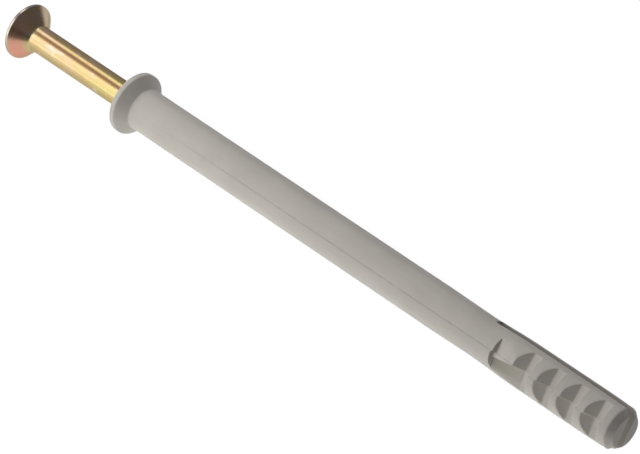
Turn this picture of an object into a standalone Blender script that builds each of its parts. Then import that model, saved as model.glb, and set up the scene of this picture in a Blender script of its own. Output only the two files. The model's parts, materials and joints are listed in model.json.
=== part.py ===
"""Hammer-in wall anchor: a collared plastic sleeve with two notched legs, and the nail that spreads them.

Metres. +X runs along the anchor into the wall and +Z is up.
The origin is the centre of the collar's outer face.
The mould of the sleeve parts on the XY plane, and the slots between the legs open at +Z and -Z.
"""

import math

import bmesh
import bpy
from mathutils import Matrix
from mathutils import Vector

# Screw nail
SCREW_RADIUS = 0.0025
SCREW_OVER_SLEEVE = 0.005  # how much longer the nail is than the sleeve
POINT_LENGTH = 0.012
POINT_FLAT = 0.0003
HEAD_RADIUS = 0.00535
HEAD_RIM = 0.00065
HEAD_FILLET = 0.0005
HEAD_STANDOFF = 0.029  # the head's outer face ahead of the collar, as the anchor is sold
RECESS_SPAN = 0.0060
RECESS_FOOT = 0.0026
RECESS_ARM = 0.0013
RECESS_DEPTH = 0.0027

# Sleeve
SLEEVE_LENGTH = 0.120
SLEEVE_WALL = 0.00135
BORE_CLEARANCE = 0.0001
COLLAR_LAND = 0.0003  # flat ring round the countersunk mouth
COLLAR_RIM = 0.0010
COLLAR_FILLET = 0.0006
MOUTH_CLEARANCE = 0.00025
WAIST_DROP = 0.0001  # the shank narrows by this just before the slots
WAIST_RUN = 0.010
WAIST_BEFORE_SLOT = 0.002
BULGE_RISE = 0.00015  # the notched legs are this much fuller than the shank
BULGE_RUN = 0.0085
TAPER_DROP = 0.00012
TAPER_RUN = 0.0086
CHAMFER_LENGTH = 0.0012
TIP_FACE_RADIUS = 0.0030

# Legs
SLOT_LENGTH = 0.031
SLOT_WIDTH = 0.0018
ROOT_GAP = 0.0003  # between each leg's root and the end of the sleeve
SWING_PER_TRAVEL = 2.0  # radians that a leg opens per metre of the nail's travel

# Notches across each leg
NOTCH_START = 0.0084  # first full notch, from the closed end of the slots
NOTCH_PITCH = 0.00535
NOTCH_DEPTH = 0.0015
NOTCH_SLOPE = 0.0019
NOTCH_FLOOR = 0.0018
NOTCH_DRAFT = math.radians(7.0)
MOULD_SHIFT = 0.0003  # the lower half's notches sit this much nearer the head
BEND_START = 0.0035  # shallow notch that lets the leg bend
BEND_DEPTH = 0.0008
BEND_SLOPE = 0.0003
BEND_RAMP = 0.0040
RELIEF_START = 0.0037  # long pocket in one half of the mould, falling from the bend to the first notch
RELIEF_STEP = 0.0010
RELIEF_FALL = math.radians(4.3)
RELIEF_LEAD = 0.0046
RELIEF_SLANT = 0.0008
RELIEF_WEB = 0.00015

# Facets
ROUND_STEPS = 64
BORE_SIDES = 24
CHANNEL_STEP = 0.002
CURVE_STEPS = 6
SHARP = math.radians(30.0)
OVERCUT = 0.001  # how far cutters run past what they cut
PARTING_LAP = 0.00002  # how far the cuts of the two mould halves overlap
MERGE = 0.000003  # points closer than this are one

# Sizes that follow
BORE_RADIUS = SCREW_RADIUS + BORE_CLEARANCE
SHANK_RADIUS = BORE_RADIUS + SLEEVE_WALL
WAIST_RADIUS = SHANK_RADIUS - WAIST_DROP
BULGE_RADIUS = SHANK_RADIUS + BULGE_RISE
MOUTH_RADIUS = HEAD_RADIUS + MOUTH_CLEARANCE
COLLAR_RADIUS = MOUTH_RADIUS + COLLAR_LAND
SLOT_X = SLEEVE_LENGTH - SLOT_LENGTH
WAIST_X = SLOT_X - WAIST_BEFORE_SLOT
BULGE_X = SLOT_X + BULGE_RUN
SHOULDER_X = SLEEVE_LENGTH - CHAMFER_LENGTH
TAPER_X = SLEEVE_LENGTH - TAPER_RUN
HEAD_X = -HEAD_STANDOFF
POINT_X = HEAD_X + SLEEVE_LENGTH + SCREW_OVER_SLEEVE
CONE_X = POINT_X - POINT_LENGTH
HINGE_RADIUS = (WAIST_RADIUS + BORE_RADIUS) / 2.0
RIDGE_RADIUS = BULGE_RADIUS - NOTCH_DEPTH
CUT_RADIUS = BULGE_RADIUS + OVERCUT
RELIEF_LENGTH = (NOTCH_DEPTH - RELIEF_STEP) / math.sin(RELIEF_FALL)


def clear_scene():
    """Removes whatever the open file holds."""
    for item in list(bpy.data.objects):
        bpy.data.objects.remove(item, do_unlink=True)


def new_collection(name):
    """An empty collection in the scene."""
    made = bpy.data.collections.new(name)
    bpy.context.scene.collection.children.link(made)
    return made


def new_material(name, colour, roughness, metallic):
    """A plain surface of one linear colour."""
    made = bpy.data.materials.new(name)
    made.use_nodes = True
    shader = made.node_tree.nodes["Principled BSDF"]
    shader.inputs["Base Color"].default_value = (*colour, 1.0)
    shader.inputs["Roughness"].default_value = roughness
    shader.inputs["Metallic"].default_value = metallic
    return made


def evaluated_mesh(item):
    """A new mesh of the object as its modifiers or its bevel leave it."""
    bpy.context.view_layer.update()
    graph = bpy.context.evaluated_depsgraph_get()
    return bpy.data.meshes.new_from_object(item.evaluated_get(graph))


def rounded(corners):
    """A profile through (radius, along, fillet) corners, each fillet an arc tangent to both of its sides."""
    profile = []
    last = len(corners) - 1
    for index, (radius, along, fillet) in enumerate(corners):
        here = Vector((radius, along))
        if fillet == 0.0 or index in (0, last):
            profile.append((radius, along))
            continue
        before = (Vector(corners[index - 1][:2]) - here).normalized()
        after = (Vector(corners[index + 1][:2]) - here).normalized()
        half_angle = before.angle(after) / 2.0
        centre = here + (before + after).normalized() * (fillet / math.sin(half_angle))
        start = here + before * (fillet / math.tan(half_angle)) - centre
        end = here + after * (fillet / math.tan(half_angle)) - centre
        for step in range(CURVE_STEPS + 1):
            spoke = start.slerp(end, step / CURVE_STEPS).normalized()
            profile.append(tuple(centre + spoke * fillet))
    return profile


def eased(low, high, share):
    """A smooth rise from low to high, level at both ends."""
    return low + (high - low) * (1.0 - math.cos(math.pi * min(max(share, 0.0), 1.0))) / 2.0


def outer_radius(along):
    """The sleeve's outside between the collar and the chamfer: shank, waist, full legs, slight taper."""
    if along <= WAIST_X:
        return eased(SHANK_RADIUS, WAIST_RADIUS, (along - WAIST_X + WAIST_RUN) / WAIST_RUN)
    if along <= TAPER_X:
        return eased(WAIST_RADIUS, BULGE_RADIUS, (along - WAIST_X) / (BULGE_X - WAIST_X))
    return BULGE_RADIUS - TAPER_DROP * ((along - TAPER_X) / (SHOULDER_X - TAPER_X)) ** 2


def outside(start, end):
    """Points of the outside from start to end, the ends included."""
    stations = [start + (end - start) * step / CURVE_STEPS for step in range(CURVE_STEPS + 1)]
    return [(outer_radius(along), along) for along in stations]


def turned(name, profile, closed, collection):
    """A body turned about the anchor's axis, from a profile that runs from the tip to the head outside."""
    points = [(radius, 0.0, along) for radius, along in profile]
    edges = [(index, index + 1) for index in range(len(points) - 1)]
    if closed:
        edges.append((len(points) - 1, 0))
    mesh = bpy.data.meshes.new(name)
    mesh.from_pydata(points, edges, [])
    made = bpy.data.objects.new(name, mesh)
    made.rotation_euler = (0.0, math.pi / 2.0, 0.0)
    collection.objects.link(made)
    screw = made.modifiers.new("turn", "SCREW")
    screw.axis = "Z"
    screw.steps = ROUND_STEPS
    screw.render_steps = ROUND_STEPS
    screw.use_merge_vertices = True
    screw.merge_threshold = MERGE
    screw.use_smooth_shade = True
    return made


def cutter_from_curve(curve, collection):
    """The curve's solid as a closed mesh object that can cut, in place of the curve."""
    mesh = evaluated_mesh(curve)
    made = bpy.data.objects.new(curve.name + "_cutter", mesh)
    bpy.data.objects.remove(curve, do_unlink=True)
    weld = made.modifiers.new("weld caps", "WELD")
    weld.merge_threshold = MERGE
    made.hide_render = True
    made.display_type = "WIRE"
    collection.objects.link(made)
    return made


def slab(name, outlines, low, high, collection):
    """Flat outlines of (x, y) points, made solid from low to high along the cutter's own Z."""
    curve = bpy.data.curves.new(name, "CURVE")
    curve.dimensions = "2D"
    curve.fill_mode = "BOTH"
    curve.extrude = (high - low) / 2.0
    for outline in outlines:
        spline = curve.splines.new("POLY")
        spline.points.add(len(outline) - 1)
        for point, (x, y) in zip(spline.points, outline):
            point.co = (x, y, 0.0, 1.0)
        spline.use_cyclic_u = True
    item = bpy.data.objects.new(name, curve)
    collection.objects.link(item)
    made = cutter_from_curve(item, collection)
    made.data.transform(Matrix.Translation((0.0, 0.0, (low + high) / 2.0)))
    return made


def lean(cutter, angle):
    """Shears the cutter so that its floors draw towards +Y by the angle as they rise along its own Z."""
    shear = Matrix.Identity(4)
    shear[1][2] = math.tan(angle)
    cutter.data.transform(shear)


def cut(target, cutter):
    """Takes the cutter's solid out of the target."""
    boolean = target.modifiers.new(cutter.name, "BOOLEAN")
    boolean.operation = "DIFFERENCE"
    boolean.solver = "EXACT"
    boolean.object = cutter


def settle(item, material):
    """Makes the finished shape the object's own mesh, smooth on its rounds and sharp at its edges."""
    mesh = evaluated_mesh(item)
    shape = bmesh.new()
    shape.from_mesh(mesh)
    bmesh.ops.remove_doubles(shape, verts=shape.verts, dist=MERGE)
    shape.to_mesh(mesh)
    shape.free()
    item.modifiers.clear()
    item.data = mesh
    mesh.name = item.name
    mesh.materials.clear()
    mesh.materials.append(material)
    mesh.shade_smooth()
    mesh.set_sharp_from_angle(angle=SHARP)


def make_sleeve(parts, plastic):
    """The collar and the plain shank, bored through, with a mouth countersunk for the nail's head."""
    end = SLOT_X - ROOT_GAP / 2.0
    waist_start = WAIST_X - WAIST_RUN
    flare_depth = COLLAR_RADIUS - SHANK_RADIUS
    corners = [
        (SHANK_RADIUS, waist_start, 0.0),
        (SHANK_RADIUS, COLLAR_RIM + flare_depth, COLLAR_FILLET),
        (COLLAR_RADIUS, COLLAR_RIM, 0.0),
        (COLLAR_RADIUS, 0.0, 0.0),
        (MOUTH_RADIUS, 0.0, 0.0),
        (BORE_RADIUS, MOUTH_RADIUS - BORE_RADIUS, 0.0),
        (BORE_RADIUS, end, 0.0),
    ]
    profile = outside(end, WAIST_X) + outside(WAIST_X, waist_start)[1:-1] + rounded(corners)
    sleeve = turned("sleeve", profile, True, parts)
    settle(sleeve, plastic)


def notch_outlines():
    """Outlines along the leg's middle: the bend, then a row of notches that slope in and step back out.

    They are measured from the ridge of the notch floors, with the leg's outside at negative y.
    """
    surface = RIDGE_RADIUS - BULGE_RADIUS
    clear = RIDGE_RADIUS - CUT_RADIUS
    bend = SLOT_X + BEND_START
    bend_floor = surface + BEND_DEPTH
    bend_in = OVERCUT * BEND_SLOPE / BEND_DEPTH
    bend_out = OVERCUT * BEND_RAMP / BEND_DEPTH
    outlines = [
        [
            (bend - bend_in, clear),
            (bend + BEND_SLOPE, bend_floor),
            (bend + BEND_SLOPE + BEND_RAMP + bend_out, clear),
        ]
    ]
    lead = OVERCUT * NOTCH_SLOPE / NOTCH_DEPTH
    start = SLOT_X + NOTCH_START
    while start + NOTCH_SLOPE + NOTCH_FLOOR < SHOULDER_X:
        step = start + NOTCH_SLOPE + NOTCH_FLOOR
        outlines.append([(start - lead, clear), (start + NOTCH_SLOPE, 0.0), (step, 0.0), (step, clear)])
        start += NOTCH_PITCH
    return outlines


def channel_offset(along):
    """How far a leg's channel lies off the axis, for the nail's cone to open the leg at a steady rate."""
    return SWING_PER_TRAVEL * (along - CONE_X) * (along - SLOT_X)


def channel(name, collection):
    """The path of the nail as the opening leg sees it: a round tube along a parabola."""
    curve = bpy.data.curves.new(name, "CURVE")
    curve.dimensions = "3D"
    curve.bevel_depth = BORE_RADIUS
    curve.bevel_resolution = (BORE_SIDES - 4) // 2
    curve.use_fill_caps = True
    count = math.ceil((SLOT_LENGTH + 2.0 * OVERCUT) / CHANNEL_STEP)
    spline = curve.splines.new("POLY")
    spline.points.add(count)
    for index, point in enumerate(spline.points):
        along = SLOT_X - OVERCUT + (SLOT_LENGTH + 2.0 * OVERCUT) * index / count
        point.co = (along, channel_offset(along), 0.0, 1.0)
    item = bpy.data.objects.new(name, curve)
    collection.objects.link(item)
    return cutter_from_curve(item, collection)


def make_leg(name, roll, parts, cutters, plastic):
    """One leg, hinged at its root. It is shaped on the -Y side, and roll turns it about the axis."""
    pivot = Vector((SLOT_X, -HINGE_RADIUS, 0.0))
    turn = Matrix.Rotation(roll, 4, "X")
    hinge = bpy.data.objects.new(name + "_hinge", None)
    hinge.matrix_world = turn @ Matrix.Translation(pivot)
    parts.objects.link(hinge)

    root = SLOT_X + ROOT_GAP / 2.0
    profile = [(0.0, SLEEVE_LENGTH), (TIP_FACE_RADIUS, SLEEVE_LENGTH)]
    profile += outside(SHOULDER_X, TAPER_X) + outside(BULGE_X, root) + [(0.0, root)]
    leg = turned(name, profile, False, parts)

    beyond = SLEEVE_LENGTH + OVERCUT
    before = SLOT_X - OVERCUT
    slot_side = -SLOT_WIDTH / 2.0
    half = [(before, slot_side), (beyond, slot_side), (beyond, CUT_RADIUS), (before, CUT_RADIUS)]
    other_half = slab(name + "_other_half", [half], -CUT_RADIUS, CUT_RADIUS, cutters)

    upper = slab(name + "_upper_notches", notch_outlines(), -PARTING_LAP, CUT_RADIUS, cutters)
    lower = slab(name + "_lower_notches", notch_outlines(), -CUT_RADIUS, PARTING_LAP, cutters)
    lean(upper, NOTCH_DRAFT)
    lean(lower, -NOTCH_DRAFT)

    relief_outline = [
        (0.0, -RELIEF_WEB - RELIEF_SLANT),
        (RELIEF_LEAD, -RELIEF_WEB),
        (RELIEF_LENGTH, -RELIEF_WEB),
        (RELIEF_LENGTH, -CUT_RADIUS),
        (0.0, -CUT_RADIUS),
    ]
    relief = slab(name + "_relief", [relief_outline], 0.0, CUT_RADIUS, cutters)
    relief.rotation_euler = (math.pi / 2.0 + NOTCH_DRAFT, 0.0, RELIEF_FALL)

    nail_path = channel(name + "_channel", cutters)
    places = {
        other_half: Vector((0.0, 0.0, 0.0)),
        nail_path: Vector((0.0, 0.0, 0.0)),
        upper: Vector((0.0, -RIDGE_RADIUS, 0.0)),
        lower: Vector((-MOULD_SHIFT, -RIDGE_RADIUS, 0.0)),
        relief: Vector((SLOT_X + RELIEF_START, RELIEF_STEP - BULGE_RADIUS, 0.0)),
    }
    for cutter, place in places.items():
        cutter.parent = hinge
        cutter.location = place - pivot
        cut(leg, cutter)
    leg.parent = hinge
    leg.location = -pivot
    settle(leg, plastic)


def make_screw(parts, cutters, zinc):
    """The nail: countersunk head with a cross recess, plain shank and long point, its origin on its axis."""
    head_depth = HEAD_RADIUS - SCREW_RADIUS
    corners = [
        (0.0, POINT_X, 0.0),
        (POINT_FLAT, POINT_X, 0.0),
        (SCREW_RADIUS, CONE_X, 0.0),
        (SCREW_RADIUS, HEAD_X + HEAD_RIM + head_depth, HEAD_FILLET),
        (HEAD_RADIUS, HEAD_X + HEAD_RIM, 0.0),
        (HEAD_RADIUS, HEAD_X, 0.0),
        (0.0, HEAD_X, 0.0),
    ]
    screw = turned("screw_nail", rounded(corners), False, parts)
    widen = (RECESS_SPAN - RECESS_FOOT) / 2.0 * OVERCUT / RECESS_DEPTH
    mouth = RECESS_SPAN / 2.0 + widen
    foot = RECESS_FOOT / 2.0
    wedge = [
        (HEAD_X - OVERCUT, -mouth),
        (HEAD_X + RECESS_DEPTH, -foot),
        (HEAD_X + RECESS_DEPTH, foot),
        (HEAD_X - OVERCUT, mouth),
    ]
    for name, quarter in (("recess_across", 0.0), ("recess_upright", math.pi / 2.0)):
        arm = slab(name, [wedge], -RECESS_ARM / 2.0, RECESS_ARM / 2.0, cutters)
        arm.rotation_euler.x = quarter
        cut(screw, arm)
    settle(screw, zinc)


def main():
    clear_scene()
    parts = new_collection("hammer_in_wall_anchor")
    cutters = new_collection("anchor_cutters")
    plastic = new_material("grey_nylon", (0.50, 0.48, 0.43), 0.55, 0.0)
    zinc = new_material("yellow_zinc", (0.82, 0.64, 0.33), 0.25, 1.0)
    make_sleeve(parts, plastic)
    make_leg("expansion_leg_front", 0.0, parts, cutters, plastic)
    make_leg("expansion_leg_rear", math.pi, parts, cutters, plastic)
    make_screw(parts, cutters, zinc)


main()
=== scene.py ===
"""Looks of a hammer-in wall anchor: a grey nylon sleeve with notched legs, and its zinc screw nail.

Metres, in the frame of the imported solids: +X runs along the anchor into the wall and +Z is up.
Turns round the axis start at -Y, where the mould of the sleeve parts, and grow towards +Z.
"""

import json
import math

import bmesh
import bpy
import numpy as np
from mathutils import Matrix, Vector


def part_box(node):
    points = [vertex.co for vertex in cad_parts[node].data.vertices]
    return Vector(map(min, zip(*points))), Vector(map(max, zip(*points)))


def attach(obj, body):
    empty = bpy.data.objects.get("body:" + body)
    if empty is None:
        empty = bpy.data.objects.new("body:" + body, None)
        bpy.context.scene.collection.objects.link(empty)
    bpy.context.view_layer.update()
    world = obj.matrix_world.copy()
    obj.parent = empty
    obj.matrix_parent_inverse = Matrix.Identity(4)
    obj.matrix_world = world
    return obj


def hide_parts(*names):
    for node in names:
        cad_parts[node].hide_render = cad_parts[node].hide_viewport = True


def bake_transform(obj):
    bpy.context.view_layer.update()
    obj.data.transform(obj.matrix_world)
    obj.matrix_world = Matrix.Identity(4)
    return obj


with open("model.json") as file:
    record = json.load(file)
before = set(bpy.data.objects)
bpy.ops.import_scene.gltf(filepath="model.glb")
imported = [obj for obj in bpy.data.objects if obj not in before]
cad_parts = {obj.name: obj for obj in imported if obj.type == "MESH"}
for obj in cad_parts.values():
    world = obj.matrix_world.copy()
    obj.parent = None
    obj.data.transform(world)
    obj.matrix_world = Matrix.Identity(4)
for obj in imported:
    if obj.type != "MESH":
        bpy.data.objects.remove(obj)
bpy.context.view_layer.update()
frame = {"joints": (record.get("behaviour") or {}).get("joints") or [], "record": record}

# Sizes read from the frame
SLEEVE_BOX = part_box("sleeve")
LEG_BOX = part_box("expansion_leg_front")
NAIL_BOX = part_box("screw_nail")
HINGE = next(joint for joint in frame["joints"] if joint["name"] == "leg_front_spread")
SWING_PER_TRAVEL = frame["record"]["behaviour"]["couplings"][0]["ratio"]
COLLAR_RADIUS = SLEEVE_BOX[1].y
BULGE_RADIUS = -LEG_BOX[0].y
SLOT_HALF = -LEG_BOX[1].y
SLOT_X = HINGE["pos_m"][0]
TIP_X = LEG_BOX[1].x
HEAD_X = NAIL_BOX[0].x
POINT_X = NAIL_BOX[1].x
HEAD_RADIUS = NAIL_BOX[1].y

# Sleeve
SHANK_RADIUS = 0.00395
BORE_RADIUS = 0.0026
MOUTH_RADIUS = 0.0056
MOUTH_FILLET = 0.0001
COLLAR_RIM = 0.0010
RIM_FILLET = 0.0005
RIM_EDGE = 0.00012
COLLAR_FILLET = 0.0006
WAIST_RADIUS = 0.00385
WAIST_X = SLOT_X - 0.002
WAIST_RUN = 0.010
PARTING_STEP = 0.00003  # how far one half of the mould stands proud of the other
PARTING_WIDTH = 0.00006
PARTING_SPAN = (0.006, 0.107)
PARTING_STAIN = 0.0001  # half width of the dark line along it
PARTING_RISE = 0.030  # run over which the line grows dark, from the collar
PARTING_FALL = 0.002  # and over which it ends, before the tip

# Legs
BULGE_X = SLOT_X + 0.0085
TAPER_X = TIP_X - 0.0086
TAPER_DROP = 0.00012
SHOULDER_X = TIP_X - 0.0012
SHOULDER_FILLET = 0.0007
TIP_FACE_RADIUS = 0.0030
TIP_FILLET = 0.00025
CONE_X = POINT_X - 0.012  # where the nail's point begins, at rest
SLOT_EDGE = 0.00012

# Notches across the legs
NOTCH_START = SLOT_X + 0.0084
NOTCH_PITCH = 0.00535
NOTCH_COUNT = 4
NOTCH_DEPTH = 0.0015
NOTCH_SLOPE = 0.0019
NOTCH_FLOOR = 0.0018
NOTCH_DRAFT = math.tan(math.radians(7.0))
NOTCH_WALL = 12.0  # rise of the step face per unit of run
MOULD_SHIFT = 0.0003  # the lower half's notches sit this much nearer the head
BEND_START = SLOT_X + 0.0035  # shallow notch that lets the leg bend
BEND_DEPTH = 0.0008
BEND_SLOPE = 0.0003
BEND_RAMP = 0.0040
RELIEF_START = SLOT_X + 0.0037  # long pocket in the lower half of the mould
RELIEF_STEP = 0.0010
RELIEF_FALL = math.tan(math.radians(4.3))
RELIEF_LEAD = 0.0046
RELIEF_SLANT = 0.0008
RELIEF_WEB = 0.00015
EDGE_SOFTNESS = 0.00012
RAMP_SOFTNESS = 0.0006
CLEAR_OF_LEG = 0.002  # height above the leg at which a cut no longer counts
LEAST_SINE = 1e-4  # keeps the pocket's wall finite on the parting plane
POCKET_SHADE_FADE = 0.5  # how much fainter the painted shade in the pocket is at its far end
POCKET_SHADE_TURNS = (math.radians(36.0), math.radians(54.0))  # turns over which the painted shade in the pocket ends

# Screw nail
NAIL_RADIUS = 0.0025
HEAD_RIM = 0.00065
HEAD_EDGE = 0.00012
HEAD_CROWN = 0.0003
HEAD_FILLET = 0.0005
HEAD_SLOPE_END = HEAD_X + HEAD_RIM + (HEAD_RADIUS - NAIL_RADIUS)
RECESS_HALF_SPAN = 0.0030
RECESS_HALF_FOOT = 0.0013
RECESS_HALF_ARM = 0.00065
RECESS_DEPTH = 0.0027
RECESS_WALL = 9.0  # depth of the recess per unit of run up its sides
RECESS_SOFTNESS = 0.0002
THREAD_SPAN = (0.012, 0.088)
THREAD_FADE = 0.006
THREAD_PITCH = 0.0026
THREAD_DEPTH = 0.0004
THREAD_FLANK = 0.22  # share of the pitch that the steep flank takes
THREAD_MOST = 0.3  # greatest share of the radius that the thread takes, on the point
POINT_FLAT = 0.0003

# Stains of the nail, with a painted reflection and a painted highlight
BLUSH_TURN = math.radians(-70.0)  # side of the head where the passivate has turned pink
PALE_HIGHLIGHT_TURN = math.radians(110.0)  # side of the head's underside where a highlight is painted in a paler tint
PALE_HIGHLIGHT_REACH = math.radians(40.0)
COPPER_REFLECTION_TURN = math.radians(32.0)  # side of the shank where a dark coppery reflection is painted
COPPER_REFLECTION_REACH = math.radians(11.0)
GILT_SPAN = (-0.015, -0.003)  # stretch of the shank over which it turns from rosy to plain yellow
NECK_RUN = 0.0009
# The stretch over which the stains and painted highlight of the head's slope give way to the
# painted reflection of the shank
SLOPE_FADE = (HEAD_SLOPE_END - HEAD_RADIUS / 4.0, HEAD_SLOPE_END - HEAD_FILLET / 2.0)
# The radii between which the dark brink of the crown begins
CROWN_FADE = (HEAD_RADIUS - HEAD_CROWN * 1.2, HEAD_RADIUS - HEAD_CROWN * 0.8)

# Rows and columns of the meshes
MERGE = 1e-7  # points closer than this are one
SHARP = math.radians(50.0)
FILLET_STEPS = 8
SLEEVE_STEP = 0.0012
SLEEVE_COLUMNS = 144
WAIST_ROWS = 24
LEG_STEP = 0.0003
LEG_COLUMNS = 131
CUT_LEAD = 0.0006  # the rows come closer from this far before the first cut
CUT_STEP = 0.00007
CUT_END = TIP_X - 0.0026
TIP_STEP = 0.0002
SLOT_COLUMNS = 8
EDGE_SHARES = np.array([0.25, 0.5, 0.75])  # places of the columns on a rounded edge of the slot
CHANNEL_COLUMNS = 33
LINE_COLUMNS = np.linspace(0.25, 2.0, 7)  # beside the sleeve's parting line, in its widths
LEG_LINE_COLUMNS = np.linspace(0.2, 2.0, 5)  # beside the leg's
HEAD_TOP_STEP = 0.00008
HEAD_STEP = 0.0003
THREAD_STEP = THREAD_PITCH / 16.0
NAIL_COLUMNS = 128

# Colours of the nylon
NYLON_DARK = (0.550, 0.526, 0.462, 1.0)
NYLON_LIGHT = (0.594, 0.568, 0.502, 1.0)
NYLON_FLOW = (0.50, 0.487, 0.445, 1.0)
NYLON_GRAIN = (0.44, 0.425, 0.39, 1.0)
NYLON_SOIL = (0.20, 0.19, 0.17, 1.0)
# painted shade that darkens the floor of the legs' long pocket
NYLON_POCKET_SHADE = (0.36, 0.345, 0.27, 1.0)

# Colours of the zinc
ZINC_GOLD = (0.50, 0.36, 0.165, 1.0)
ZINC_YELLOW = (0.50, 0.40, 0.19, 1.0)
ZINC_PINK = (0.55, 0.41, 0.29, 1.0)
ZINC_OLIVE = (0.48, 0.42, 0.22, 1.0)
ZINC_STREAK = (0.39, 0.28, 0.13, 1.0)
ZINC_GILT = (0.47, 0.405, 0.155, 1.0)
ZINC_SILVER = (0.62, 0.52, 0.42, 1.0)
ZINC_ORANGE = (0.58, 0.35, 0.17, 1.0)
# painted dark coppery reflection down one side of the shank
ZINC_COPPER_REFLECTION = (0.52, 0.325, 0.14, 1.0)
ZINC_NECK = (0.46, 0.42, 0.22, 1.0)
ZINC_SLOPE = (0.48, 0.34, 0.22, 1.0)
ZINC_BLUSH = (0.60, 0.275, 0.197, 1.0)
# painted highlight on one side of the head's underside, in a paler tint
ZINC_PALE_HIGHLIGHT = (0.50, 0.445, 0.30, 1.0)
ZINC_RIM = (0.43, 0.39, 0.32, 1.0)
ZINC_BRINK = (0.22, 0.19, 0.15, 1.0)
ZINC_GLANCE = (0.75, 0.70, 0.60, 1.0)  # tint of its edges, seen at a glancing angle

# Camera
TARGET = (0.047864, 0.000006, 0.000018)
AZIMUTH = math.radians(34.5006)
ELEVATION = math.radians(14.9892)
ROLL = math.radians(23.7772)
DISTANCE = 0.777383
LENS = 253.125
SENSOR = 36.0
CLIP = (0.01, 100.0)

# Floor
FLOOR_DROP = 0.30
FLOOR_REACH = 8.0
FLOOR_COLOUR = (0.68, 0.68, 0.67, 1.0)
FLOOR_ROUGHNESS = 0.9
FLOOR_WHITE = 0.9
SHEET_WHITE = 0.85
SHEET_END = (0.26, 0.30)  # where the white sheet ends, as the nail mirrors it

# Levels of the room's light
ROOM_COLOUR = (1.0, 0.955, 1.07, 1.0)
ROOM_EVEN = 0.14
ROOM_DARK = 0.10
ROOM_LIGHT = 0.52
SIDE_GLOW = 0.7
REAR_GLOW = 0.9
BACK_GLOW = 0.8

# Ways the room's light comes from: a direction, the cosines it rises between, and its levels there
BACK = ((0.0, 0.965, 0.26), (0.86, 1.0), (ROOM_EVEN, ROOM_EVEN + BACK_GLOW))
WALLS = ((-0.90, -0.43, 0.0), (-1.0, 1.0), (ROOM_DARK - ROOM_EVEN, ROOM_LIGHT - ROOM_EVEN))
WALL_GLOWS = (
    ((-0.55, -0.83, -0.08), (0.74, 0.97), (0.0, SIDE_GLOW)),
    ((0.66, 0.70, 0.28), (0.92, 1.0), (0.0, REAR_GLOW)),
)

# Lamps: place, aim, size, level, and whether metal mirrors them
LAMP_POWER = 4.0  # watts per square metre at which a lamp looks white
HEAD_SIDE = (-0.12, 0.0, 0.0)
MIDDLE = (0.05, 0.0, 0.0)
TIP = (0.12, 0.0, 0.0)
COLLAR = (0.0, 0.0, 0.0)
LAMPS = {
    "key": ((-0.14, -0.22, -0.027), COLLAR, (0.38, 0.265), 0.80, True),
    "key_soft": ((-0.145, -0.228, -0.028), COLLAR, (0.38, 0.265), 0.69, False),
    "low": ((-0.14, -0.16, -0.205), COLLAR, (0.38, 0.18), 0.30, True),
    "strip": ((-0.18, -0.10, 0.36), HEAD_SIDE, (0.36, 0.16), 1.2, True),
    "strip_soft": ((-0.182, -0.103, 0.372), HEAD_SIDE, (0.36, 0.16), 2.1, False),
    "fill": ((0.37, 0.20, -0.12), TIP, (0.2, 0.2), 1.7, False),
    "under": ((0.075, -0.045, -0.267), MIDDLE, (0.3, 0.2), 1.2, False),
    "rear": ((-0.04, 0.40, -0.13), MIDDLE, (0.34, 0.16), 1.5, False),
}


def soft_min(first, second, width):
    """The lesser of two fields, with the crease where they cross rounded over the given width."""
    share = np.clip(0.5 + 0.5 * (second - first) / width, 0.0, 1.0)
    return second + (first - second) * share - width * share * (1.0 - share)


def soft_max(first, second, width):
    """The greater of two fields, with the crease where they cross rounded over the given width."""
    return -soft_min(-first, -second, width)


def smooth_rise(low, high, values):
    """0 below low and 1 above high, with a cubic rise between them."""
    share = np.clip((values - low) / (high - low), 0.0, 1.0)
    return share * share * (3.0 - 2.0 * share)


def unit(vector):
    """The vector at length 1."""
    return vector / np.linalg.norm(vector)


def rounded_path(corners):
    """Points (along, radius) through corners of (along, radius, fillet).

    A fillet is an arc tangent to both of its sides: its centre lies on their bisector, and its
    spokes turn evenly from one tangent point to the other.
    """
    places = np.array([corner[:2] for corner in corners])
    stretches = []
    for index, (_, _, fillet) in enumerate(corners):
        here = places[index]
        if fillet == 0.0:
            stretches.append(here[None])
            continue
        before = unit(places[index - 1] - here)
        after = unit(places[index + 1] - here)
        half_angle = math.acos(before @ after) / 2.0
        middle = unit(before + after)
        across = unit(after - before)
        half_turn = math.pi / 2.0 - half_angle
        turn = np.linspace(-half_turn, half_turn, FILLET_STEPS)[:, None]
        spokes = np.sin(turn) * across - np.cos(turn) * middle
        stretches.append(here + middle * fillet / math.sin(half_angle) + spokes * fillet)
    return np.concatenate(stretches)


def filled(path, step):
    """The same path with points added along its long stretches, none further apart than step."""
    lengths = np.linalg.norm(np.diff(path, axis=0), axis=1)
    counts = np.maximum(1, np.ceil(lengths / step)).astype(int)
    stretch = np.repeat(np.arange(len(counts)), counts)
    ordinal = np.arange(counts.sum()) - np.repeat(np.cumsum(counts) - counts, counts)
    share = (ordinal / counts[stretch])[:, None]
    between = path[stretch] * (1.0 - share) + path[stretch + 1] * share
    return np.concatenate([between, path[-1:]])


def flat_points(along, across, up):
    """Points of a grid given by their three coordinates."""
    return np.stack(np.broadcast_arrays(along, across, up), axis=-1)


def on_axis(along, radius, turn):
    """Points of a grid given by the place along the axis, the radius, and the turn round it."""
    return flat_points(along, -radius * np.cos(turn), radius * np.sin(turn))


def bent(first, corner, last):
    """Three points on the parabola (1-t)^2 first + 2t(1-t) corner + t^2 last, rounding a corner."""
    share = EDGE_SHARES[None, :, None]
    return first * (1.0 - share) ** 2 + corner * 2.0 * share * (1.0 - share) + last * share**2


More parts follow.
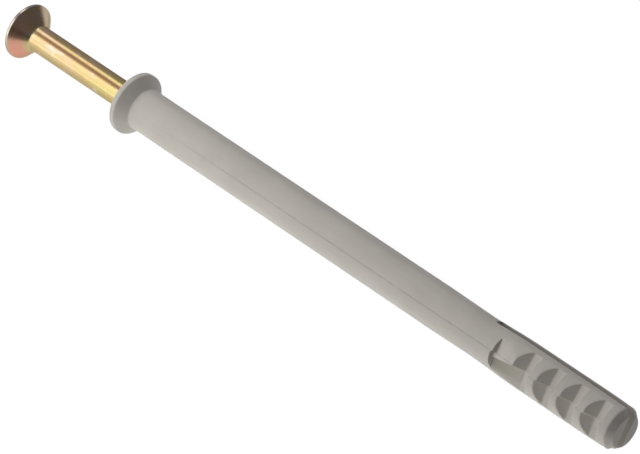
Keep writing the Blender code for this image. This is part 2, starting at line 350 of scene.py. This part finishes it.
def grid_quads(rows, columns, rows_close=False):
    """Corner numbers of the quads of a grid that closes round its columns, and maybe its rows."""
    row = np.arange(rows if rows_close else rows - 1)[:, None]
    column = np.arange(columns)[None, :]
    next_row = (row + 1) % rows
    next_column = (column + 1) % columns
    corners = [
        row * columns + column,
        row * columns + next_column,
        next_row * columns + next_column,
        next_row * columns + column,
    ]
    return np.stack(np.broadcast_arrays(*corners), axis=-1).reshape(-1, 4)


def make_piece(name, points, faces, material, marks):
    """A mesh at the origin: doubles merged, faces turned outwards, smooth with sharp edges kept.

    marks is a dictionary of numbers over the grid of points, which materials read by name.
    """
    mesh = bpy.data.meshes.new(name)
    mesh.from_pydata(points.reshape(-1, 3), [], faces)
    for mark, values in marks.items():
        layer = mesh.attributes.new(mark, "FLOAT", "POINT")
        numbers = np.broadcast_to(values, points.shape[:2]).astype(np.float32)
        layer.data.foreach_set("value", numbers.ravel())
    shape = bmesh.new()
    shape.from_mesh(mesh)
    bmesh.ops.remove_doubles(shape, verts=shape.verts, dist=MERGE)
    bmesh.ops.recalc_face_normals(shape, faces=shape.faces)
    shape.to_mesh(mesh)
    shape.free()
    mesh.materials.append(material)
    mesh.shade_smooth()
    mesh.set_sharp_from_angle(angle=SHARP)
    piece = bpy.data.objects.new(name, mesh)
    bpy.context.scene.collection.objects.link(piece)
    return piece


def outer_radius(along):
    """The sleeve's outside: plain shank, slight waist, full legs, slight taper to the tip."""
    to_waist = smooth_rise(WAIST_X - WAIST_RUN, WAIST_X, along)
    waist = SHANK_RADIUS + (WAIST_RADIUS - SHANK_RADIUS) * to_waist
    bulge = (BULGE_RADIUS - WAIST_RADIUS) * smooth_rise(WAIST_X, BULGE_X, along)
    taper = TAPER_DROP * np.clip((along - TAPER_X) / (SHOULDER_X - TAPER_X), 0.0, 1.0) ** 2
    return waist + bulge - taper


def parting_side(arc):
    """-1 on the lower half of the mould and 1 on the upper, with a short ramp where they meet."""
    return np.tanh(arc / (PARTING_WIDTH / 2.0))


def parting_mark(along, arc):
    """1 on the parting line, fading within its width and towards both ends of its span."""
    start, end = PARTING_SPAN
    ends = smooth_rise(start, start + PARTING_RISE, along)
    ends = ends * (1.0 - smooth_rise(end - PARTING_FALL, end, along))
    return np.exp(-((arc / PARTING_STAIN) ** 2)) * ends


def make_sleeve(nylon):
    """Collar and shank: a closed profile turned about the axis.

    The radius carries the step of the mould's halves, half of it up on one and down on the other.
    """
    flare = COLLAR_RADIUS - SHANK_RADIUS
    outside_rows = np.linspace(SLOT_X, WAIST_X - WAIST_RUN, WAIST_ROWS)
    outside = np.stack([outside_rows, outer_radius(outside_rows)], axis=-1)
    collar = rounded_path(
        [
            (WAIST_X - WAIST_RUN, SHANK_RADIUS, 0.0),
            (COLLAR_RIM + flare, SHANK_RADIUS, COLLAR_FILLET),
            (COLLAR_RIM, COLLAR_RADIUS, RIM_FILLET),
            (0.0, COLLAR_RADIUS, RIM_EDGE),
            (0.0, MOUTH_RADIUS, MOUTH_FILLET),
            (MOUTH_RADIUS - BORE_RADIUS, BORE_RADIUS, MOUTH_FILLET),
            (SLOT_X, BORE_RADIUS, 0.0),
        ]
    )
    path = filled(np.concatenate([outside, collar[1:]]), SLEEVE_STEP)
    near = np.outer((-1.0, 1.0), LINE_COLUMNS).ravel() * PARTING_WIDTH / SHANK_RADIUS
    even = np.linspace(-math.pi, math.pi, SLEEVE_COLUMNS, endpoint=False)
    turn = np.unique(np.concatenate([even, near, near + math.pi]))
    along, radius = path[:, :1], path[:, 1:]
    arc = radius * np.sin(turn)
    on_outside = (radius > BORE_RADIUS + EDGE_SOFTNESS) & (along > PARTING_SPAN[0])
    stepped = radius - np.where(on_outside, parting_side(arc) * PARTING_STEP / 2.0, 0.0)
    points = on_axis(along, stepped, turn)
    quads = grid_quads(*points.shape[:2], rows_close=True)
    marks = {"parting": parting_mark(along, arc) * on_outside}
    piece = make_piece("nylon_sleeve", points, quads, nylon, marks)
    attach(piece, "sleeve")
    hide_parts("sleeve")


def notch_height(along):
    """How far the bottom of the cuts lies from the axis, on the leg's middle line.

    Each notch is the greatest of a slope going in, a level floor and a steep step coming out, and
    the row of them is the least over the notches. The first, shallower cut has a steep way in and
    a long ramp out.
    """
    rise = BEND_DEPTH / BEND_SLOPE
    ramp = BEND_DEPTH / BEND_RAMP
    way_in = BULGE_RADIUS - (along - BEND_START) * rise
    way_out = BULGE_RADIUS - BEND_DEPTH + (along - BEND_START - BEND_SLOPE) * ramp
    height = np.maximum(way_in, way_out)
    floor = BULGE_RADIUS - NOTCH_DEPTH
    for number in range(NOTCH_COUNT):
        start = NOTCH_START + number * NOTCH_PITCH
        slope = BULGE_RADIUS - (along - start) * NOTCH_DEPTH / NOTCH_SLOPE
        step = floor + (along - start - NOTCH_SLOPE - NOTCH_FLOOR) * NOTCH_WALL
        notch = soft_max(soft_max(slope, floor, EDGE_SOFTNESS), step, EDGE_SOFTNESS)
        height = np.minimum(height, notch)
    return np.minimum(height, BULGE_RADIUS + CLEAR_OF_LEG)


def drafted(height, turn):
    """The radius of a cut whose floor, at a height on the middle line, falls off with the draft.

    The radius is height / (cos turn + draft * |sin turn|).
    """
    return height / (np.cos(turn) + NOTCH_DRAFT * np.abs(np.sin(turn)))


def relief_radius(along, turn):
    """The long pocket in the lower half, as a radius: the greater of its floor and its web's wall.

    The floor falls towards the first notch, and away from the parting plane with the draft.
    """
    end = RELIEF_START + (NOTCH_DEPTH - RELIEF_STEP) / RELIEF_FALL
    run = np.clip(along, RELIEF_START, end) - RELIEF_START
    beyond = np.maximum(RELIEF_START - along, 0.0) + np.maximum(along - end, 0.0)
    floor = BULGE_RADIUS - RELIEF_STEP - RELIEF_FALL * run + beyond * NOTCH_WALL
    lead = np.clip(1.0 - (along - RELIEF_START) / RELIEF_LEAD, 0.0, 1.0)
    wall = (RELIEF_WEB + RELIEF_SLANT * lead) / np.maximum(-np.sin(turn), LEAST_SINE)
    wall = np.minimum(wall, BULGE_RADIUS + CLEAR_OF_LEG)
    return soft_max(drafted(floor, turn), wall, EDGE_SOFTNESS)


def leg_surface(along, around, turn):
    """The leg's outside as a radius over place and turn: the turned outside, less the cuts.

    The lower half of the mould has its cuts shifted towards the head.
    """
    side = parting_side(around * np.sin(turn))
    upper = notch_height(along)
    lower = notch_height(along + MOULD_SHIFT)
    notched = drafted(lower + (upper - lower) * (0.5 + 0.5 * side), turn)
    shell = around - side * PARTING_STEP / 2.0
    on_ramp = smooth_rise(BEND_START + BEND_SLOPE, BEND_START + BEND_RAMP / 2.0, along)
    on_ramp = on_ramp * (1.0 - smooth_rise(NOTCH_START - NOTCH_SLOPE / 2.0, NOTCH_START, along))
    softness = EDGE_SOFTNESS + (RAMP_SOFTNESS - EDGE_SOFTNESS) * on_ramp
    cut = soft_min(shell, notched, softness)
    return soft_min(cut, relief_radius(along, turn), EDGE_SOFTNESS)


def pocket_shade_mark(along, turn, radius):
    """Painted shade in the pocket's recess: 1 on the pocket's floor at its start, fainter where the
    first notch begins, and 0 off it.
    """
    inside = 1.0 - smooth_rise(0.0, EDGE_SOFTNESS, relief_radius(along, turn) - radius)
    inside = inside * (1.0 - smooth_rise(*POCKET_SHADE_TURNS, -turn))
    fade = POCKET_SHADE_FADE * smooth_rise(RELIEF_START, NOTCH_START + NOTCH_SLOPE, along)
    return inside * (1.0 - fade)


def leg_rows():
    """Rows (along, outer radius) from the leg's root to its end face, close where the cuts are."""
    plain = np.arange(SLOT_X, BEND_START - CUT_LEAD, LEG_STEP)
    cut = np.arange(BEND_START - CUT_LEAD, CUT_END, CUT_STEP)
    body = np.concatenate([plain, cut])
    tip = rounded_path(
        [
            (cut[-1], outer_radius(cut[-1]), 0.0),
            (SHOULDER_X, outer_radius(np.array(SHOULDER_X)), SHOULDER_FILLET),
            (TIP_X, TIP_FACE_RADIUS, TIP_FILLET),
            (TIP_X, SLOT_HALF, 0.0),
        ]
    )
    rows = np.stack([body, outer_radius(body)], axis=-1)
    return np.concatenate([rows, filled(tip[1:-1], TIP_STEP)])


def make_leg(name, node, side, nylon):
    """One leg: a closed section carried along the axis, at -Y (side 1) or turned half round (-1).

    The section runs over the notched outside, down one face of the slot, round the nail's channel
    and up the other face. The channel is a circle whose centre moves off the axis along a
    parabola, as the nail opens the leg, and it runs out in the face of the slot where the circle
    no longer reaches the leg.
    """
    rows = leg_rows()
    along, around = rows[:, :1], rows[:, 1:]
    reach = np.arccos(SLOT_HALF / around) - SLOT_EDGE / around
    fine = LEG_LINE_COLUMNS * PARTING_WIDTH / BULGE_RADIUS
    even = np.linspace(-1.0, 1.0, LEG_COLUMNS)
    turn = reach * np.unique(np.concatenate([even, fine, -fine]))[None, :]
    radius = leg_surface(along, around, turn)
    outside = on_axis(along, radius, turn)

    corner = np.sqrt(around**2 - SLOT_HALF**2)
    offset = SWING_PER_TRAVEL * (along - CONE_X) * (along - SLOT_X)
    sweep = np.arccos(np.clip((offset + SLOT_HALF) / BORE_RADIUS, -1.0, 1.0))
    inner = BORE_RADIUS * np.sin(sweep)
    inward = np.linspace(0.0, 1.0, SLOT_COLUMNS)[None, :]
    face = (corner - SLOT_EDGE) + (inner - corner + SLOT_EDGE) * inward
    upper = flat_points(along, -SLOT_HALF, face)
    lower = flat_points(along, -SLOT_HALF, -face[:, ::-1])
    swept = sweep * np.linspace(1.0, -1.0, CHANNEL_COLUMNS)[None, 1:-1]
    depth = np.minimum(offset - BORE_RADIUS * np.cos(swept), -SLOT_HALF)
    channel = flat_points(along, depth, BORE_RADIUS * np.sin(swept))

    edge_up = bent(outside[:, -1:], flat_points(along, -SLOT_HALF, corner), upper[:, :1])
    edge_down = bent(lower[:, -1:], flat_points(along, -SLOT_HALF, -corner), outside[:, :1])
    section = np.concatenate([outside, edge_up, upper, channel, lower, edge_down], axis=1)
    section[..., 1:] *= side

    count = section.shape[1]
    quads = grid_quads(*section.shape[:2])
    last = (section.shape[0] - 1) * count
    ends = [list(range(count)), list(range(last + count - 1, last - 1, -1))]
    marks = {"parting": np.zeros(section.shape[:2]), "pocket": np.zeros(section.shape[:2])}
    marks["parting"][:, : turn.shape[1]] = parting_mark(along, around * np.sin(turn))
    # where the painted shade in the pocket lies
    marks["pocket"][:, : turn.shape[1]] = pocket_shade_mark(along, turn, radius)
    piece = make_piece(name, section, quads.tolist() + ends, nylon, marks)
    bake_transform(piece)
    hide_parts(node)


def recess_arm(length, width):
    """Depth of one arm of the cross recess: the least of its foot, sloping end and sides."""
    slope_run = RECESS_HALF_SPAN - RECESS_HALF_FOOT
    end = RECESS_DEPTH * (RECESS_HALF_SPAN - np.abs(length)) / slope_run
    sides = (RECESS_HALF_ARM - np.abs(width)) * RECESS_WALL
    return soft_min(soft_min(end, sides, RECESS_SOFTNESS), RECESS_DEPTH, RECESS_SOFTNESS)


def recess_depth(across, up):
    """Depth of the cross recess: the deeper of its two arms, and none outside them."""
    cross = soft_max(recess_arm(across, up), recess_arm(up, across), RECESS_SOFTNESS)
    return soft_max(cross, 0.0, RECESS_SOFTNESS / 2.0)


def thread_depth(along, turn):
    """Depth of the thread: a saw-tooth wave of the place less the turn, faded at both ends."""
    start, end = THREAD_SPAN
    phase = (along / THREAD_PITCH - turn / (2.0 * math.pi)) % 1.0
    wave = np.minimum(phase / (1.0 - THREAD_FLANK), (1.0 - phase) / THREAD_FLANK)
    fade = smooth_rise(start, start + THREAD_FADE, along)
    fade = fade * (1.0 - smooth_rise(end - THREAD_FADE, end, along))
    return THREAD_DEPTH * fade * smooth_rise(0.0, 1.0, wave)


def facing(turn, middle):
    """1 at a turn round the axis and 0 half round from it, as a cosine."""
    return 0.5 + 0.5 * np.cos(turn - middle)


def near_turn(turn, middle, reach):
    """1 at a turn round the axis, falling off to both sides of it as a bell of the given reach."""
    away = (turn - middle + math.pi) % (2.0 * math.pi) - math.pi
    return np.exp(-((away / reach) ** 2))


def nail_marks(along, radius, turn):
    """Where the nail's stains, its painted dark reflection and its painted highlight lie, each a
    number from 0 to 1 over its rows and columns.
    """
    on_shank = smooth_rise(*SLOPE_FADE, along)
    past_crown = smooth_rise(HEAD_X, HEAD_X + HEAD_CROWN, along)
    under_head = past_crown * (1.0 - on_shank)
    return {
        "gilt": smooth_rise(*GILT_SPAN, along),
        # painted dark coppery reflection down one side of the shank
        "copper_reflection": on_shank * near_turn(turn, COPPER_REFLECTION_TURN, COPPER_REFLECTION_REACH),
        "neck": np.exp(-(((along - HEAD_SLOPE_END) / NECK_RUN) ** 2)),
        "slope": under_head * facing(turn, 0.0),
        "blush": under_head * facing(turn, BLUSH_TURN) ** 2,
        # painted highlight on one side of the head's underside
        "pale_highlight": under_head * near_turn(turn, PALE_HIGHLIGHT_TURN, PALE_HIGHLIGHT_REACH),
        "rim": smooth_rise(HEAD_RADIUS - HEAD_EDGE, HEAD_RADIUS, radius),
        "brink": smooth_rise(*CROWN_FADE, radius) * (1.0 - past_crown),
    }


def make_nail(zinc):
    """The nail: a profile turned about the axis, less the recess in its head and its thread."""
    head = rounded_path(
        [
            (HEAD_X, 0.0, 0.0),
            (HEAD_X, HEAD_RADIUS, HEAD_CROWN),
            (HEAD_X + HEAD_RIM, HEAD_RADIUS, HEAD_EDGE),
            (HEAD_SLOPE_END, NAIL_RADIUS, HEAD_FILLET),
            (THREAD_SPAN[0], NAIL_RADIUS, 0.0),
        ]
    )
    top = filled(head[:2], HEAD_TOP_STEP)
    below = filled(head[1:], HEAD_STEP)[1:]
    threaded = np.arange(THREAD_SPAN[0], CONE_X, THREAD_STEP)[1:]
    shank = np.stack([threaded, np.full_like(threaded, NAIL_RADIUS)], axis=-1)
    point = filled(np.array([(CONE_X, NAIL_RADIUS), (POINT_X, POINT_FLAT)]), THREAD_STEP)
    path = np.concatenate([top, below, shank, point, np.array([(POINT_X, 0.0)])])
    along, radius = path[:, :1], path[:, 1:]
    turn = np.linspace(0.0, 2.0 * math.pi, NAIL_COLUMNS, endpoint=False)
    cut = np.minimum(thread_depth(along, turn), radius * THREAD_MOST)
    points = on_axis(along, radius - cut, turn)
    recess = recess_depth(points[..., 1], points[..., 2])
    points[..., 0] += np.where(along == HEAD_X, recess, 0.0)
    quads = grid_quads(*points.shape[:2])
    piece = make_piece("zinc_screw_nail", points, quads, zinc, nail_marks(along, radius, turn))
    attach(piece, "screw")
    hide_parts("screw_nail")


class Nodes:
    """A node tree, with short ways to add and join its nodes."""

    def __init__(self, tree):
        self.tree = tree

    def add(self, kind):
        """A new node."""
        return self.tree.nodes.new(kind)

    def join(self, value, socket):
        """Sets a socket to a number or colour, or links an output to it."""
        if isinstance(value, bpy.types.NodeSocket):
            self.tree.links.new(value, socket)
        else:
            socket.default_value = value

    def place(self):
        """The place on the piece."""
        return self.add("ShaderNodeTexCoord").outputs["Object"]

    def stretched(self, scale):
        """The place, scaled along each axis."""
        node = self.add("ShaderNodeMapping")
        self.join(self.place(), node.inputs["Vector"])
        self.join(scale, node.inputs["Scale"])
        return node.outputs["Vector"]

    def noise(self, stretch, scale, detail, roughness):
        """A noise from 0 to 1 over the stretched place, with about scale features per metre."""
        node = self.add("ShaderNodeTexNoise")
        self.join(self.stretched(stretch), node.inputs["Vector"])
        self.join(scale, node.inputs["Scale"])
        self.join(detail, node.inputs["Detail"])
        self.join(roughness, node.inputs["Roughness"])
        return node.outputs["Fac"]

    def spread(self, value, span, levels, kind="LINEAR"):
        """The value mapped from a span to levels, and held there beyond it."""
        node = self.add("ShaderNodeMapRange")
        node.interpolation_type = kind
        self.join(value, node.inputs["Value"])
        for socket, number in zip(("From Min", "From Max", "To Min", "To Max"), span + levels):
            self.join(number, node.inputs[socket])
        return node.outputs["Result"]

    def math(self, operation, first, second):
        """The sum, product or maximum of two values."""
        node = self.add("ShaderNodeMath")
        node.operation = operation
        self.join(first, node.inputs[0])
        self.join(second, node.inputs[1])
        return node.outputs["Value"]

    def mixed(self, share, first, second):
        """A colour between two colours."""
        node = self.add("ShaderNodeMix")
        node.data_type = "RGBA"
        self.join(share, node.inputs["Factor"])
        self.join(first, node.inputs[6])
        self.join(second, node.inputs[7])
        return node.outputs[2]

    def layered(self, tint, layers):
        """A colour under layers of (share, colour), the last on top."""
        for share, colour in layers:
            tint = self.mixed(share, tint, colour)
        return tint

    def mark(self, name, most=1.0):
        """A number that the mesh holds at its points, times the most that it counts for."""
        node = self.add("ShaderNodeAttribute")
        node.attribute_name = name
        return self.math("MULTIPLY", node.outputs["Fac"], most)

    def bump(self, height, distance, strength, below=None):
        """A normal that follows a height, over an earlier bump if there is one."""
        node = self.add("ShaderNodeBump")
        self.join(distance, node.inputs["Distance"])
        self.join(strength, node.inputs["Strength"])
        self.join(height, node.inputs["Height"])
        if below is not None:
            self.join(below, node.inputs["Normal"])
        return node.outputs["Normal"]

    def rising(self, way, toward, span, levels):
        """A level that rises as a way nears a direction, between two cosines of their angle."""
        node = self.add("ShaderNodeVectorMath")
        node.operation = "DOT_PRODUCT"
        self.join(way, node.inputs[0])
        self.join(toward, node.inputs[1])
        return self.spread(node.outputs["Value"], span, levels, "SMOOTHSTEP")

    def seen_by(self, kind):
        """1 where a ray of a kind looks, and 0 elsewhere."""
        return self.add("ShaderNodeLightPath").outputs[f"Is {kind} Ray"]

    def dress(self, values):
        """Sets or links the sockets of the material's shader."""
        for socket, value in values.items():
            self.join(value, self.tree.nodes["Principled BSDF"].inputs[socket])


def new_material(name):
    """A new material, and its nodes."""
    material = bpy.data.materials.new(name)
    material.use_nodes = True
    return material, Nodes(material.node_tree)


def nylon_finish():
    """Satin grey nylon: cloudy tint, flow lines along it, fine grain, a soiled parting line, and
    painted shade in the legs' pocket.
    """
    material, nodes = new_material("grey_nylon")
    clouds = nodes.noise((1.0, 1.0, 1.0), scale=160.0, detail=3.0, roughness=0.55)
    flow = nodes.noise((0.12, 1.0, 1.0), scale=900.0, detail=3.0, roughness=0.6)
    grain = nodes.noise((1.0, 1.0, 1.0), scale=5200.0, detail=2.0, roughness=0.6)
    broken = nodes.noise((1.0, 0.0, 0.0), scale=420.0, detail=4.0, roughness=0.7)
    soiled = nodes.mark("parting", nodes.spread(broken, (0.38, 0.64), (0.06, 0.6)))
    tint = nodes.layered(
        NYLON_DARK,
        [
            (nodes.spread(clouds, (0.3, 0.7), (0.0, 1.0)), NYLON_LIGHT),
            (nodes.spread(flow, (0.35, 0.75), (0.0, 0.30)), NYLON_FLOW),
            (nodes.spread(grain, (0.58, 0.8), (0.0, 0.12)), NYLON_GRAIN),
            (soiled, NYLON_SOIL),
            # painted shade in the legs' pocket
            (nodes.mark("pocket", 0.95), NYLON_POCKET_SHADE),
        ],
    )
    coarse = nodes.bump(flow, distance=0.00003, strength=0.12)
    nodes.dress(
        {
            "Base Color": tint,
            "Roughness": nodes.spread(flow, (0.2, 0.8), (0.46, 0.60)),
            "Specular IOR Level": 0.4,
            "Subsurface Weight": 0.12,
            "Subsurface Radius": (1.0, 0.9, 0.7),
            "Subsurface Scale": 0.0008,
            "Normal": nodes.bump(grain, distance=0.00002, strength=0.06, below=coarse),
        }
    )
    return material


def zinc_finish():
    """Yellow passivated zinc: gold with pink, olive, whitish and orange clouds, streaks and pits; a
    painted dark reflection down one side of the shank and a painted highlight on one side of the
    head's underside.
    """
    material, nodes = new_material("yellow_zinc")
    clouds = nodes.noise((0.4, 1.0, 1.0), scale=420.0, detail=2.0, roughness=0.5)
    patches = nodes.noise((0.6, 1.0, 1.0), scale=380.0, detail=2.0, roughness=0.5)
    specks = nodes.noise((0.7, 1.0, 1.0), scale=700.0, detail=1.0, roughness=0.5)
    streaks = nodes.noise((0.03, 1.0, 1.0), scale=2600.0, detail=3.0, roughness=0.6)
    pits = nodes.noise((1.0, 1.0, 1.0), scale=3200.0, detail=3.0, roughness=0.6)
    tint = nodes.layered(
        ZINC_GOLD,
        [
            (nodes.spread(clouds, (0.38, 0.62), (0.0, 1.0)), ZINC_YELLOW),
            (nodes.spread(patches, (0.50, 0.61), (0.0, 0.8)), ZINC_PINK),
            (nodes.spread(patches, (0.34, 0.47), (0.5, 0.0)), ZINC_OLIVE),
            (nodes.spread(streaks, (0.45, 0.75), (0.0, 0.2)), ZINC_STREAK),
            (nodes.mark("gilt", 0.8), ZINC_GILT),
            (nodes.spread(specks, (0.60, 0.72), (0.0, 0.8)), ZINC_SILVER),
            (nodes.spread(specks, (0.28, 0.38), (0.7, 0.0)), ZINC_ORANGE),
            # painted dark coppery reflection down one side of the shank
            (nodes.mark("copper_reflection"), ZINC_COPPER_REFLECTION),
            (nodes.mark("neck", 0.5), ZINC_NECK),
            (nodes.mark("slope", 0.7), ZINC_SLOPE),
            (nodes.mark("blush"), ZINC_BLUSH),
            # painted highlight on one side of the head's underside
            (nodes.mark("pale_highlight", 0.8), ZINC_PALE_HIGHLIGHT),
            (nodes.mark("rim"), ZINC_RIM),
            (nodes.mark("brink"), ZINC_BRINK),
        ],
    )
    drawn = nodes.bump(streaks, distance=0.00002, strength=0.03)
    nodes.dress(
        {
            "Base Color": tint,
            "Metallic": 1.0,
            "Specular Tint": ZINC_GLANCE,
            "Roughness": nodes.spread(pits, (0.3, 0.75), (0.17, 0.29)),
            "Normal": nodes.bump(pits, distance=0.00002, strength=0.02, below=drawn),
        }
    )
    return material


def floor_finish():
    """Pale floor, white to the camera and through clear pieces, and in mirrors up to its end."""
    material, nodes = new_material("pale_floor")
    place = nodes.add("ShaderNodeSeparateXYZ")
    nodes.join(nodes.place(), place.inputs["Vector"])
    sheet = nodes.spread(place.outputs["X"], SHEET_END, (SHEET_WHITE, 0.0))
    mirrored = nodes.math("MULTIPLY", nodes.seen_by("Glossy"), sheet)
    seen = nodes.math("MAXIMUM", nodes.seen_by("Camera"), mirrored)
    seen = nodes.math("MAXIMUM", seen, nodes.seen_by("Transmission"))
    nodes.dress(
        {
            "Base Color": FLOOR_COLOUR,
            "Roughness": FLOOR_ROUGHNESS,
            "Specular IOR Level": 0.0,
            "Emission Color": (1.0, 1.0, 1.0, 1.0),
            "Emission Strength": nodes.math("MULTIPLY", seen, FLOOR_WHITE),
        }
    )
    return material


def make_floor():
    """A plain floor below the anchor, which takes its shadow."""
    mesh = bpy.data.meshes.new("floor")
    corners = np.array([(-1.0, -1.0), (1.0, -1.0), (1.0, 1.0), (-1.0, 1.0)]) * FLOOR_REACH
    points = np.column_stack([corners, np.full(len(corners), -FLOOR_DROP)])
    mesh.from_pydata(points, [], [(0, 1, 2, 3)])
    mesh.materials.append(floor_finish())
    floor = bpy.data.objects.new("floor", mesh)
    bpy.context.scene.collection.objects.link(floor)


def make_world():
    """A studio room: even dim light with a glow behind the anchor, and white where it is looked at.

    Mirrors see walls in place of the even light, dim on the tip's side, lighter on the head's, and
    glowing round two ways.
    """
    world = bpy.data.worlds.new("studio")
    world.use_nodes = True
    nodes = Nodes(world.node_tree)
    way = nodes.add("ShaderNodeTexCoord").outputs["Generated"]
    walls = nodes.rising(way, *WALLS)
    for glow in WALL_GLOWS:
        walls = nodes.math("ADD", walls, nodes.rising(way, *glow))
    walls = nodes.math("MULTIPLY", walls, nodes.seen_by("Glossy"))
    total = nodes.math("ADD", walls, nodes.rising(way, *BACK))
    for kind in ("Camera", "Transmission"):
        total = nodes.math("MAXIMUM", total, nodes.seen_by(kind))
    background = world.node_tree.nodes["Background"]
    nodes.join(ROOM_COLOUR, background.inputs["Color"])
    nodes.join(total, background.inputs["Strength"])
    bpy.context.scene.world = world


def make_lamp(name, place, aim, size, level, mirrored):
    """A soft box of size (along X, across) at a place, facing a point; a level of 1 looks white."""
    data = bpy.data.lights.new(name, "AREA")
    data.shape = "RECTANGLE"
    data.size, data.size_y = size
    data.energy = level * LAMP_POWER * size[0] * size[1]
    lamp = bpy.data.objects.new(name, data)
    back = Vector(np.subtract(place, aim)).normalized()
    across = back.cross((1.0, 0.0, 0.0)).normalized()
    lamp.matrix_world = Matrix((across.cross(back), across, back)).transposed().to_4x4()
    lamp.location = place
    lamp.visible_camera = False
    lamp.visible_glossy = mirrored
    bpy.context.scene.collection.objects.link(lamp)


def make_camera():
    """The camera: a long lens, turned about its own axis."""
    data = bpy.data.cameras.new("camera")
    data.lens = LENS
    data.sensor_width = SENSOR
    data.clip_start, data.clip_end = CLIP
    camera = bpy.data.objects.new("camera", data)
    level = math.cos(ELEVATION)
    back = Vector((math.sin(AZIMUTH) * level, -math.cos(AZIMUTH) * level, math.sin(ELEVATION)))
    camera.location = Vector(TARGET) + back * DISTANCE
    look = (-back).to_track_quat("-Z", "Y").to_matrix().to_4x4()
    roll = Matrix.Rotation(ROLL, 4, "Z")
    camera.matrix_world = Matrix.Translation(camera.location) @ look @ roll
    bpy.context.scene.collection.objects.link(camera)
    bpy.context.scene.camera = camera


grey_nylon = nylon_finish()
make_sleeve(grey_nylon)
make_leg("nylon_leg_front", "expansion_leg_front", 1.0, grey_nylon)
make_leg("nylon_leg_rear", "expansion_leg_rear", -1.0, grey_nylon)
make_nail(zinc_finish())
make_floor()
make_world()
for lamp_name, lamp_values in LAMPS.items():
    make_lamp(lamp_name, *lamp_values)
make_camera()
bpy.context.scene.view_settings.view_transform = "Standard"
